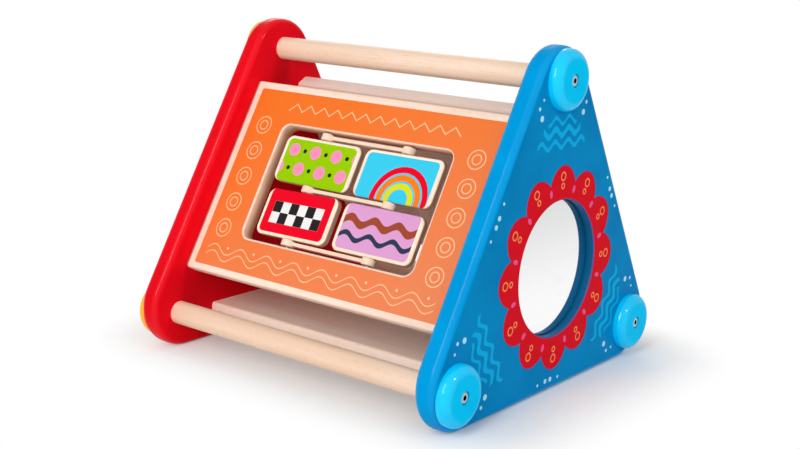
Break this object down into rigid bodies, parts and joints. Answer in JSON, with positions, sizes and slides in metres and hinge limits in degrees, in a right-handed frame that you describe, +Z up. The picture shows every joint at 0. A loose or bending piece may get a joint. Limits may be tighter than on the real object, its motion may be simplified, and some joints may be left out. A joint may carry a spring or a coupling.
{
  "type": "busy box",
  "caption": "Triangular wooden busy box for a small child: painted end boards joined by dowels, a mirror in one end and a sloping board with spinning tiles in a window.",
  "frame": {"origin": "middle of the box on the surface it rests on", "axes": "+X along the dowels towards the end with the mirror, -Y towards the front board with the tiles, +Z up"},
  "size_m": [0.2616, 0.2432, 0.2184],
  "materials": {
    "blue_paint": "gloss paint",
    "red_paint": "gloss paint",
    "orange_print": "satin print on wood",
    "bare_wood": "satin clear coat",
    "mirror": "polished",
    "green_tile": "satin print",
    "sky_tile": "satin print",
    "red_tile": "satin print",
    "lilac_tile": "satin print",
    "steel": "plated",
    "white_plastic": "moulded",
    "blue_cap": "gloss",
    "amber_cap": "gloss",
    "brass": "plain"
  },
  "bodies": {
    "frame": {"blue_end_board": "blue_paint", "red_end_board": "red_paint", "front_board": "orange_print", "rear_board": "bare_wood", "bottom_board": "bare_wood", "top_dowel": "bare_wood", "front_dowel": "bare_wood", "rear_dowel": "bare_wood", "mirror_disc": "mirror", "left_rod": "steel", "right_rod": "steel", "upper_spacer": "white_plastic", "middle_spacer": "white_plastic", "lower_spacer": "white_plastic", "blue_cap_front": "blue_cap", "blue_cap_rear": "blue_cap", "blue_cap_top": "blue_cap", "amber_cap_front": "amber_cap", "amber_cap_rear": "amber_cap", "amber_cap_top": "amber_cap", "blue_screw_front": "steel", "blue_screw_rear": "steel", "blue_screw_top": "steel", "red_screw_front": "steel", "red_screw_rear": "steel", "red_screw_top": "steel", "blue_insert_front": "brass", "blue_insert_rear": "brass", "blue_insert_top": "brass", "red_insert_front": "brass", "red_insert_rear": "brass", "red_insert_top": "brass"},
    "tile_upper_left": {"tile_upper_left": "green_tile"},
    "tile_upper_right": {"tile_upper_right": "sky_tile"},
    "tile_lower_left": {"tile_lower_left": "red_tile"},
    "tile_lower_right": {"tile_lower_right": "lilac_tile"}
  },
  "joints": [
    {"name": "tile_upper_left_spin", "type": "hinge", "parent": "frame", "child": "tile_upper_left", "pos_m": [-0.034, -0.04471, 0.13006], "axis": [0, 0.5, 0.866], "continuous": true},
    {"name": "tile_upper_right_spin", "type": "hinge", "parent": "frame", "child": "tile_upper_right", "pos_m": [0.034, -0.04471, 0.13006], "axis": [0, 0.5, 0.866], "continuous": true},
    {"name": "tile_lower_left_spin", "type": "hinge", "parent": "frame", "child": "tile_lower_left", "pos_m": [-0.034, -0.06351, 0.0975], "axis": [0, 0.5, 0.866], "continuous": true},
    {"name": "tile_lower_right_spin", "type": "hinge", "parent": "frame", "child": "tile_lower_right", "pos_m": [0.034, -0.06351, 0.0975], "axis": [0, 0.5, 0.866], "continuous": true}
  ]
}
